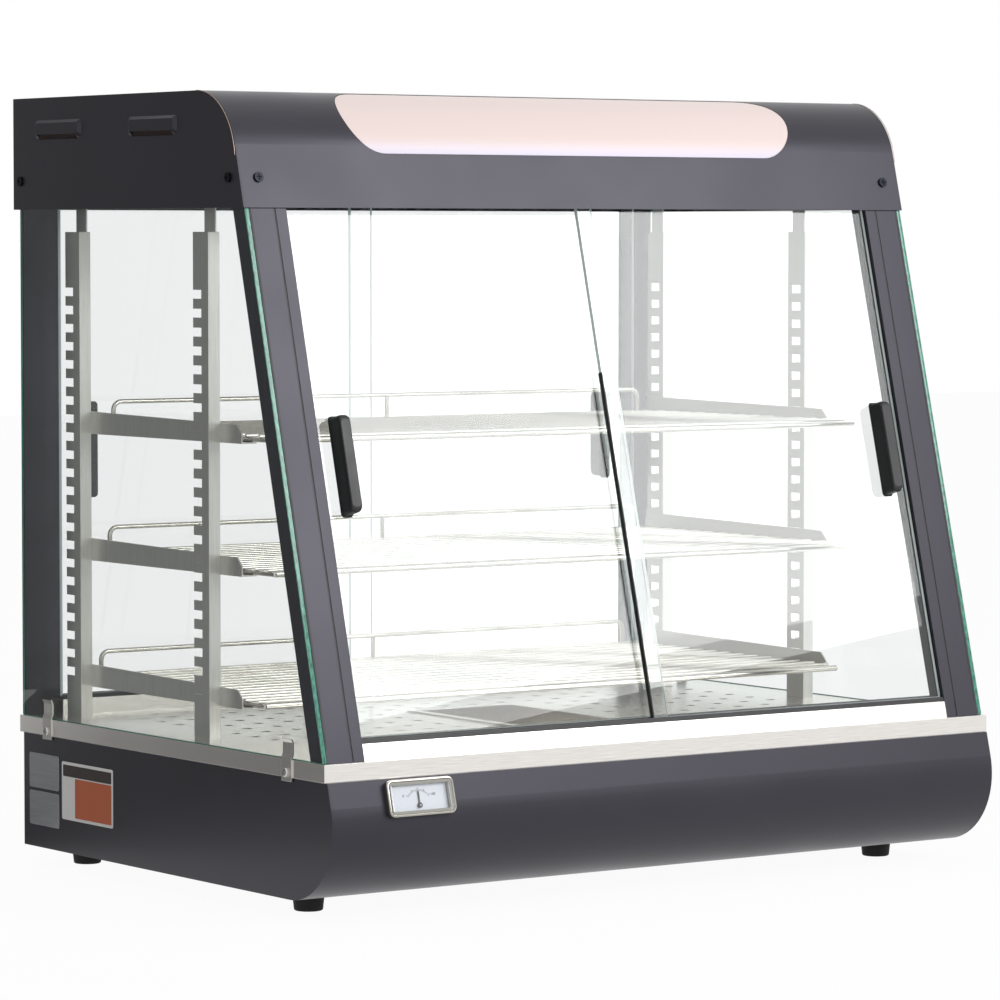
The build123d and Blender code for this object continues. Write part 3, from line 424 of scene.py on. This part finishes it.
def bentRings(path, radius, normal, sides=12):
    # tube on a flat path: p(t) + r * (cos a * normal + sin a * (tangent x normal))
    path = np.asarray(path, float)
    tangent = np.gradient(path, axis=0)
    tangent /= np.linalg.norm(tangent, axis=1, keepdims=True)
    other = np.cross(tangent, normal)
    angle = np.linspace(0, 2 * pi, sides, endpoint=False)
    circle = np.cos(angle)[None, :, None] * normal + np.sin(angle)[None, :, None] * other[:, None, :]
    return path[:, None, :] + radius * circle


def lathe(profile, origin, out, sides=32):
    # profile of (radius, height) turned about out through origin
    profile = np.asarray(profile, float)
    helper = alongX if abs(out[0]) < 0.9 else alongY
    side = np.cross(out, helper)
    side /= np.linalg.norm(side)
    up = np.cross(out, side)
    angle = np.linspace(0, 2 * pi, sides, endpoint=False)
    circle = np.cos(angle)[:, None] * side + np.sin(angle)[:, None] * up
    return np.asarray(origin) + profile[:, 1][:, None, None] * out + profile[:, 0][:, None, None] * circle


# Glass panes, with ground edges

pane = {"edge": 0.5 * mm, "corner": 1.2 * mm, "thickness": 4 * mm, "endGap": 1.2 * mm}


def sidePane(side):
    node = "side_glass_" + side
    lo, hi = low(node), high(node)
    corners = [(slopeY(lo[2]), lo[2]), (hi[1], lo[2]), (hi[1], hi[2]), (slopeY(hi[2]), hi[2])]
    flat = plateRings(corners, hi[0] - lo[0], pane["edge"], pane["corner"])
    heap = Heap()
    heap.add(placed(flat, [lo[0], 0, 0], alongY, alongZ, alongX), 1, 0)
    looks = [finishes["clear_glass"], edgeGreen]
    piece = heap.piece("sidePane" + side.title(), looks, "cabinet", "clear_glass")
    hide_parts(node)


def frontPane(side):
    node = "front_door_" + side
    lo, hi = low(node), high(node)
    width = hi[0] - lo[0]
    behind = hi[1] - slopeY(hi[2])  # far face of the pane, measured along Y
    thickness = pane["thickness"] * cos(lean)
    length = (hi[2] - lo[2]) / cos(lean) - pane["endGap"]
    middleZ = (lo[2] + hi[2]) / 2
    origin = [(lo[0] + hi[0]) / 2, slopeY(middleZ, behind), middleZ]
    flat = plateRings(rectangle(width, length), thickness, pane["edge"], pane["corner"])
    heap = Heap()
    heap.add(placed(flat, origin, alongX, leanUp, leanOut), 1, 0)
    looks = [finishes["clear_glass"], edgePale]
    piece = heap.piece("frontPane" + side.title(), looks, node, "clear_glass")
    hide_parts(node)
    return origin, length, thickness, lo[0]


def rearPane(side):
    node = "rear_door_" + side
    lo, hi = low(node), high(node)
    size = hi - lo
    middle = (lo + hi) / 2
    flat = plateRings(rectangle(size[0], size[2]), size[1], pane["edge"], pane["corner"])
    heap = Heap()
    heap.add(placed(flat, [middle[0], lo[1], middle[2]], -alongX, alongZ, alongY), 1, 0)
    looks = [finishes["clear_glass"], edgePale]
    piece = heap.piece("rearPane" + side.title(), looks, node, "clear_glass")
    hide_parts(node)


def frontSeal(origin, length, thickness, edgeX):
    # thin black strip on the lower part of the free edge of the outer door
    strip = {"width": 1.3 * mm, "proud": 0.3 * mm, "past": 0.4 * mm, "share": 0.65, "endGap": 1 * mm}
    reach = strip["share"] * length
    deep = thickness + 2 * strip["proud"]
    flat = plateRings(rectangle(strip["width"], reach), deep, 0.3 * mm, 0.4 * mm)
    centre = np.array([edgeX + strip["width"] / 2 - strip["past"], origin[1], origin[2]])
    centre = centre - strip["proud"] * leanOut - (length - strip["endGap"] - reach) / 2 * leanUp
    heap = Heap()
    heap.add(placed(flat, centre, alongX, leanUp, leanOut))
    heap.piece("frontDoorSeal", [sealBlack], "front_door_right", "black_plastic")


for side in ("left", "right"):
    sidePane(side)
    rearPane(side)
    paneFacts = frontPane(side)
frontSeal(*paneFacts)


def pillarTrim(side):
    # bonding tape beside the pane edge and a dark line sunk in the groove, along the leaning pillar face;
    # each is width, distance in from the outer edge, and depth below the face, in mm
    trim = {"tape": (1.8, 0.9, 0.0), "line": (1.4, 23.3, 0.45), "thickness": 0.15, "edge": 0.08, "endGap": 24}
    lo, hi = low("front_pillar_" + side), high("front_pillar_" + side)
    outward = -1 if side == "left" else 1
    outer = lo[0] if side == "left" else hi[0]
    middleZ = (lo[2] + hi[2]) / 2
    length = (hi[2] - lo[2]) / cos(lean) - trim["endGap"] * mm
    heap = Heap()
    for width, inward, drop in (trim["tape"], trim["line"]):
        strip = rectangle(width * mm, length)
        flat = plateRings(strip, trim["thickness"] * mm, trim["edge"] * mm, 0.1 * mm, 3, 2)
        origin = np.array([outer - outward * inward * mm, slopeY(middleZ), middleZ])
        heap.add(placed(flat, origin - drop * mm * leanOut, alongX, leanUp, leanOut))
    heap.piece("pillarTrim" + side.title(), [sealBlack], "cabinet", "black_plastic")


for side in ("left", "right"):
    pillarTrim(side)
print("glass panes and pillar trim made")


# Door handles: bar with a rounded outer end, on a foot that spreads towards the pane

handle = {"width": 11.5 * mm, "depth": 16 * mm, "corner": 3.4 * mm, "foot": 1.6 * mm, "round": 4.2 * mm,
          "flare": 0.5 * mm, "fall": 1.3 * mm, "edge": 1.0 * mm}
handle["length"] = high("rear_handle_left")[2] - low("rear_handle_left")[2]


def doorHandle(name, node, body, origin, up, out):
    # ring at depth d: half size = half - spread * (1 - exp(-d / fall)), then a quarter-round crown
    h = handle
    d = np.array([0, 0.4, 1, 2, 3.5, 5.5, 9, 11.5]) * mm
    fade = np.exp(-d / h["fall"])
    a = np.linspace(0, pi / 2, 7)[1:]
    bar = h["length"] / 2 - h["foot"]
    side = h["width"] / 2 - h["flare"]
    halfLength = np.r_[bar + h["foot"] * fade, bar - h["round"] * (1 - np.cos(a))]
    halfWidth = np.r_[side + h["flare"] * fade, side - h["edge"] * (1 - np.cos(a))]
    depth = np.r_[d, h["depth"] - h["round"] * (1 - np.sin(a))]
    rings = []
    for w, l, t in zip(halfWidth, halfLength, depth):
        outline = ring(rectangle(2 * w, 2 * l), h["corner"], 0.0, 6)
        rings.append(np.c_[outline, np.full(len(outline), t)])
    rings = np.stack(rings)
    heap = Heap()
    heap.add(placed(rings, origin, np.cross(up, out), up, out))
    piece = heap.piece(name, [finishes["black_plastic"]], body, "black_plastic", 50.0)
    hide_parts(node)


for side in ("left", "right"):
    node = "front_handle_" + side
    lo, hi = low(node), high(node)
    half = handle["length"] / 2
    origin = [(lo[0] + hi[0]) / 2, hi[1] - half * sin(lean), lo[2] + half * cos(lean)]
    doorHandle("frontHandle" + side.title(), node, "front_door_" + side, origin, leanUp, leanOut)
    node = "rear_handle_" + side
    lo, hi = low(node), high(node)
    origin = [(lo[0] + hi[0]) / 2, lo[1], (lo[2] + hi[2]) / 2]
    doorHandle("rearHandle" + side.title(), node, "rear_door_" + side, origin, alongZ, alongY)
print("handles made")


# Wire shelves

wireShelf = {
    "wire": 1.5 * mm, "cross": 2.0 * mm, "front": 2.5 * mm, "frontLift": 0.6 * mm, "weld": 0.6 * mm,
    "first": 11.0 * mm, "pitch": 19.5 * mm, "setback": 6.0 * mm, "fenceHalf": 272.0 * mm, "bend": 7.0 * mm,
}


def shelfPiece(level):
    node = "shelf_" + level
    s = wireShelf
    lo, hi = low(node), high(node)
    half = hi[0]
    front = lo[1] + s["front"]
    rear = hi[1]
    crossZ = lo[2] + s["cross"]
    wireZ = crossZ + s["cross"] + s["wire"] - s["weld"]
    heap = Heap()
    for x in (-half + s["cross"] + mm, -half / 3, half / 3, half - s["cross"] - mm):
        heap.add(rodRings([x, front, crossZ], [x, rear, crossZ], s["cross"]))
    span = rear - front - s["first"] - s["setback"]
    for y in np.linspace(front + s["first"], rear - s["setback"], round(span / s["pitch"]) + 1):
        heap.add(rodRings([-half, y, wireZ], [half, y, wireZ], s["wire"], dome=0.9))
    rodZ = crossZ + s["frontLift"]
    heap.add(rodRings([-half, front, rodZ], [half, front, rodZ], s["front"], 16, dome=0.9))
    fenceY = rear - s["setback"]
    top = hi[2] - s["cross"]
    r = s["bend"]
    a = np.linspace(0, pi / 2, 7)
    x = s["fenceHalf"] - s["cross"]
    left = np.c_[-x + r * (1 - np.cos(a)), np.full(7, fenceY), top - r + r * np.sin(a)]
    right = left[::-1] * [-1, 1, 1]
    path = np.r_[[[-x, fenceY, wireZ]], left, right, [[x, fenceY, wireZ]]]
    heap.add(bentRings(path, s["cross"], alongY))
    heap.add(rodRings([0, fenceY, wireZ], [0, fenceY, top], s["cross"]))
    piece = heap.piece("wireShelf" + level.title(), [finishes["chrome_wire"]], node, "chrome_wire", 60.0)
    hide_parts(node)


for level in ("top", "middle", "bottom"):
    shelfPiece(level)
print("wire shelves made")


# Thermometer: bevelled bright frame, printed dial

gauge = {"width": 62 * mm, "height": 29 * mm, "border": 4.5 * mm, "deep": 1.5 * mm, "proud": 5.5 * mm,
         "lens": 1.5 * mm, "corner": 5.2 * mm, "pinRise": 4 * mm}
lensMiddle = (low("thermometer_lens") + high("thermometer_lens")) / 2
gaugeOrigin = lensMiddle - (gauge["proud"] - gauge["lens"]) * leanOut
pinV = -(gauge["height"] / 2 - gauge["border"]) + gauge["pinRise"]


def gaugeFrame():
    # closed profile of (inset, height) in mm carried round the rounded outline
    profile = [(4.4, -1.5), (4.5, 2.2), (4.4, 3.0), (3.9, 3.3), (2.2, 4.4), (1.9, 5.2), (1.4, 5.5),
               (0.8, 5.4), (0.3, 4.9), (0.0, 4.2), (0.0, 0.0), (2.4, 0.0), (2.4, -1.5)]
    rings = []
    for inset, height in profile:
        outline = ring(rectangle(gauge["width"], gauge["height"]), gauge["corner"], inset * mm, 6)
        rings.append(np.c_[outline, np.full(len(outline), height * mm)])
    rings = np.stack(rings)
    count, sides = rings.shape[:2]
    i, j = np.meshgrid(np.arange(count), np.arange(sides), indexing="ij")
    n, k = (i + 1) % count, (j + 1) % sides
    quads = np.stack([i * sides + j, i * sides + k, n * sides + k, n * sides + j], -1).reshape(-1, 4).tolist()
    points = placed(rings, gaugeOrigin, alongX, leanUp, leanOut)
    looks = [finishes["gauge_frame"]]
    piece = finishPiece("thermometerFrame", points, quads, looks, "cabinet", sharp=25.0)
    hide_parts("thermometer_case")


def dialMarks():
    # scale lines on an arc about the pointer pin; every fifth is long; each is width and length in mm
    scale = {"lines": 21, "reach": 52.0, "inner": 11.2, "long": (0.35, 2.6), "short": (0.22, 1.5),
             "thickness": 0.08 * mm, "lift": 0.62 * mm}
    w = -gauge["deep"] + scale["lift"]
    angles = np.radians(np.linspace(-scale["reach"], scale["reach"], scale["lines"]))
    heap = Heap()
    for number, angle in enumerate(angles):
        width, size = scale["long"] if number % 5 == 0 else scale["short"]
        outline = np.array(rectangle(width * mm, size * mm))
        mark = np.stack([np.c_[outline, np.full(4, t)] for t in (0, scale["thickness"])])
        mark[..., 1] += (scale["inner"] + size / 2) * mm
        across = np.array([cos(angle), -sin(angle)])
        along = np.array([sin(angle), cos(angle)])
        flat = mark[..., 0:1] * across + mark[..., 1:2] * along
        local = np.concatenate([flat + [0, pinV], mark[..., 2:3] + w], axis=-1)
        heap.add(placed(local, gaugeOrigin, alongX, leanUp, leanOut))
    heap.piece("dialScale", [printBlack], "cabinet", "needle_black")


def dialNumber(text, angle):
    # plain figures outside the scale lines
    figure = {"size": 3.0 * mm, "half": 0.04 * mm, "reach": 16.2 * mm, "drop": 0.6 * mm, "lift": 0.66 * mm}
    curve = bpy.data.curves.new("dialFigure" + text, "FONT")
    curve.body = text
    curve.size = figure["size"]
    curve.align_x = "CENTER"
    curve.align_y = "CENTER"
    curve.extrude = figure["half"]
    curve.resolution_u = 3
    holder = bpy.data.objects.new("holder", curve)
    scene.collection.objects.link(holder)
    bpy.context.view_layer.update()
    mesh = bpy.data.meshes.new_from_object(holder.evaluated_get(bpy.context.evaluated_depsgraph_get()))
    bpy.data.objects.remove(holder)
    points = np.zeros(len(mesh.vertices) * 3)
    mesh.vertices.foreach_get("co", points)
    points = points.reshape(-1, 3)
    reach = figure["reach"]
    points += [reach * sin(angle), pinV + reach * cos(angle) - figure["drop"], figure["lift"] - gauge["deep"]]
    mesh.vertices.foreach_set("co", placed(points, gaugeOrigin, alongX, leanUp, leanOut).ravel())
    mesh.materials.clear()
    mesh.materials.append(printBlack)
    piece = bpy.data.objects.new("dialFigure" + text, mesh)
    scene.collection.objects.link(piece)
    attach(piece, "cabinet")


gaugeFrame()
dialMarks()
for text, degreesFromTop in (("0", -58.0), ("100", 58.0)):
    dialNumber(text, radians(degreesFromTop))
print("thermometer made")


# Blank plates on the left side of the base

plates = {"face": low("base_side_left")[0], "thickness": 0.35 * mm, "corner": 2.0 * mm}
trayTop = high("deck_tray")[2]


def sidePlate(name, yRange, zRange, material, slot, lift=0.0, corner=None):
    # flat rounded plate on the side panel; y falls to the right here
    y0, y1 = yRange
    z0, z1 = zRange
    corner = plates["corner"] if corner is None else corner
    flat = plateRings(rectangle((y1 - y0) * mm, (z1 - z0) * mm), plates["thickness"], 0.12 * mm, corner)
    origin = [plates["face"] - lift, (y0 + y1) / 2 * mm, trayTop + (z0 + z1) / 2 * mm]
    heap = Heap()
    heap.add(placed(flat, origin, -alongY, alongZ, -alongX))
    heap.piece(name, [material], "cabinet", slot)


sidePlate("ratingPlateUpper", (171, 220), (-59, -30), plateSilver, "rack_steel")
sidePlate("ratingPlateLower", (171, 220), (-90, -61.5), plateSilver, "rack_steel")
sidePlate("vinylBorder", (83, 166), (-81, -33), plateWhite, "gauge_face")
sidePlate("vinylHead", (85.5, 163.5), (-45, -35.5), plateDark, "black_plastic", 0.3 * mm, 0.8 * mm)
sidePlate("vinylField", (85.5, 144), (-78.5, -46), plateRust, "rocker_red", 0.3 * mm, 0.8 * mm)
print("plates made")


# Folded edge along each end of the canopy curve, drawn as a thin pale beige metal bead: a painted highlight
# where the edge catches the light

def canopySeam(side):
    # thin bead on the arc: centre + R * (cos a, sin a) from the leaning face up to the flat top
    seam = {"radius": 57.0 * mm, "bead": 0.3 * mm, "inset": 1.2 * mm, "points": 40, "start": 0.4 * lean}
    top = high("canopy_wrap")[2]
    face = low("canopy_wrap")
    canopyY = face[1] + leanTan * (top - face[2])
    centreY = canopyY + seam["radius"] * np.tan((pi / 2 - lean) / 2)
    centreZ = top - seam["radius"]
    a = np.linspace(seam["start"], pi / 2, seam["points"])
    path = np.c_[np.full(seam["points"], side * (high("canopy_side_right")[0] - seam["inset"])),
                 centreY - seam["radius"] * np.cos(a), centreZ + seam["radius"] * np.sin(a)]
    heap = Heap()
    heap.add(bentRings(path, seam["bead"], alongX, 8))
    name = "canopySeam" + ("Right" if side > 0 else "Left")
    heap.piece(name, [seamHighlightBead], "cabinet", "screw_steel", 80.0)


canopySeam(1)
canopySeam(-1)


# Rubber feet, turned with a rounded rim

def footPieces():
    foot = {"top": 13.0, "low": 11.5, "round": 1.6, "bore": 2.2, "head": 4.8, "recess": 6.0, "mouth": 0.6}
    lo, hi = low("feet"), high("feet")
    height = hi[2] / mm
    a = np.linspace(0, pi / 2, 6)
    rim = np.c_[foot["low"] - foot["round"] * (1 - np.sin(a)), foot["round"] * (1 - np.cos(a))]
    bore = [[foot["bore"], foot["recess"]], [foot["head"], foot["recess"]],
            [foot["head"], foot["mouth"]], [foot["head"] + foot["mouth"], 0.0]]
    profile = np.r_[bore, rim, [[foot["top"], height], [foot["bore"], height]]] * mm
    xs = (lo[0] + foot["top"] * mm, hi[0] - foot["top"] * mm)
    ys = (lo[1] + foot["top"] * mm, hi[1] - foot["top"] * mm)
    heap = Heap()
    for x in xs:
        for y in ys:
            heap.add(lathe(profile, [x, y, 0], alongZ))
    piece = heap.piece("rubberFeet", [finishes["foot_rubber"]], "cabinet", "foot_rubber", 40.0)
    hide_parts("feet")


footPieces()
print("trim made")


# Floor, cards, lamps and camera

stageFacts = {"white": 1.0, "ambient": 0.55, "floorHalf": 9.0, "floorGlow": 0.95,
              "cardDark": 0.18, "cardPale": 0.38, "cardTurn": 35.1}


def seenDirectly(tree):
    # 1 for rays from the camera, from gloss and through glass, so all three see the same white
    path = addNode(tree, "ShaderNodeLightPath")
    seen = path.outputs["Is Camera Ray"]
    for ray in ("Is Glossy Ray", "Is Transmission Ray"):
        either = addNode(tree, "ShaderNodeMath", {0: seen, 1: path.outputs[ray]}, operation="MAXIMUM")
        seen = either.outputs[0]
    return seen


def makeWorld():
    world = bpy.data.worlds.new("paleStudio")
    world.use_nodes = True
    tree = world.node_tree
    tree.nodes.clear()
    level = addNode(tree, "ShaderNodeMapRange", {
        "Value": seenDirectly(tree), "To Min": stageFacts["ambient"], "To Max": stageFacts["white"]})
    back = addNode(tree, "ShaderNodeBackground", {"Color": (1, 1, 1, 1), "Strength": level.outputs["Result"]})
    addNode(tree, "ShaderNodeOutputWorld", {"Surface": back.outputs["Background"]})
    scene.world = world


def makeFloor():
    points = [(x, y, 0) for x, y in rectangle(2 * stageFacts["floorHalf"], 2 * stageFacts["floorHalf"])]
    mesh = bpy.data.meshes.new("paleFloor")
    mesh.from_pydata(points, [], [(0, 1, 2, 3)])
    floor = bpy.data.objects.new("paleFloor", mesh)
    scene.collection.objects.link(floor)
    material, tree = newMaterial("paleFloorPaper")
    paper = addNode(tree, "ShaderNodeBsdfDiffuse", {"Color": (0.93, 0.93, 0.93, 1)})
    glow = addNode(tree, "ShaderNodeEmission", {"Color": (1, 1, 1, 1), "Strength": 1.0})
    inputs = {0: seenDirectly(tree), 1: stageFacts["floorGlow"]}
    share = addNode(tree, "ShaderNodeMath", inputs, operation="MULTIPLY")
    mix = addNode(tree, "ShaderNodeMixShader", {0: share.outputs[0]})
    tree.links.new(paper.outputs["BSDF"], mix.inputs[1])
    tree.links.new(glow.outputs["Emission"], mix.inputs[2])
    close(tree, mix.outputs["Shader"])
    mesh.materials.append(material)


def makeCard(name, grey, middle, firstHalf, secondHalf):
    # grey card that only gloss sees: corners are middle +/- firstHalf +/- secondHalf
    corners = [middle + i * firstHalf + j * secondHalf for i, j in rectangle(2, 2)]
    mesh = bpy.data.meshes.new(name)
    mesh.from_pydata([tuple(c) for c in corners], [], [(0, 1, 2, 3)])
    card = bpy.data.objects.new(name, mesh)
    scene.collection.objects.link(card)
    material, tree = newMaterial(name + "Paper")
    glow = addNode(tree, "ShaderNodeEmission", {"Color": (1, 1, 1, 1), "Strength": stageFacts[grey]})
    close(tree, glow.outputs["Emission"])
    mesh.materials.append(material)
    card.visible_camera = False
    card.visible_diffuse = False
    card.visible_transmission = False
    card.visible_shadow = False


def makeCards():
    # two stand behind and one lies on the floor before them, so steel that faces left stays darker
    turn = radians(stageFacts["cardTurn"])
    outward = np.array([-sin(turn), cos(turn), 0.0])
    across = np.array([outward[1], -outward[0], 0.0])
    standing = 1.9 * outward + 0.7 * alongZ
    makeCard("darkCardStanding", "cardDark", standing - 0.74 * across, 0.76 * across, 1.1 * alongZ)
    makeCard("paleCardStanding", "cardPale", standing + 0.76 * across, 0.74 * across, 1.1 * alongZ)
    lying = 1.17 * outward - 0.75 * across + 0.001 * alongZ
    makeCard("darkCardLying", "cardDark", lying, 0.75 * across, 0.73 * outward)


def addSoftbox(name, direction, distance, width, height, power, target=(0, 0, 0.32)):
    light = bpy.data.lights.new(name, "AREA")
    light.shape = "RECTANGLE"
    light.size = width
    light.size_y = height
    light.energy = power
    box = bpy.data.objects.new(name, light)
    scene.collection.objects.link(box)
    direction = Vector(direction).normalized()
    box.location = Vector(target) + direction * distance
    box.rotation_euler = (-direction).to_track_quat("-Z", "Y").to_euler()


makeWorld()
makeFloor()
makeCards()
addSoftbox("keyBox", (0.40, -0.917, 0.46), 2.6, 1.9, 1.0, 33.0)
addSoftbox("topBox", (-0.1, -0.15, 1.0), 2.6, 2.2, 2.2, 5.0)

view = {"place": (-2.2733, -3.2302, 0.5233), "yaw": 35.1, "pitch": 3.17, "focal": 170.5}


def makeCamera():
    yaw, pitch = radians(view["yaw"]), radians(view["pitch"])
    forward = Vector((sin(yaw) * cos(pitch), cos(yaw) * cos(pitch), -sin(pitch)))
    camera = bpy.data.cameras.new("photoCamera")
    camera.lens = view["focal"]
    camera.sensor_width = 36.0
    camera.clip_end = 60.0
    holder = bpy.data.objects.new("photoCamera", camera)
    holder.location = view["place"]
    holder.rotation_euler = forward.to_track_quat("-Z", "Y").to_euler()
    scene.collection.objects.link(holder)
    scene.camera = holder


makeCamera()
scene.cycles.max_bounces = 24
scene.cycles.transmission_bounces = 20
scene.cycles.transparent_max_bounces = 32
scene.view_settings.view_transform = "Standard"
print("stage, lamps and camera set")
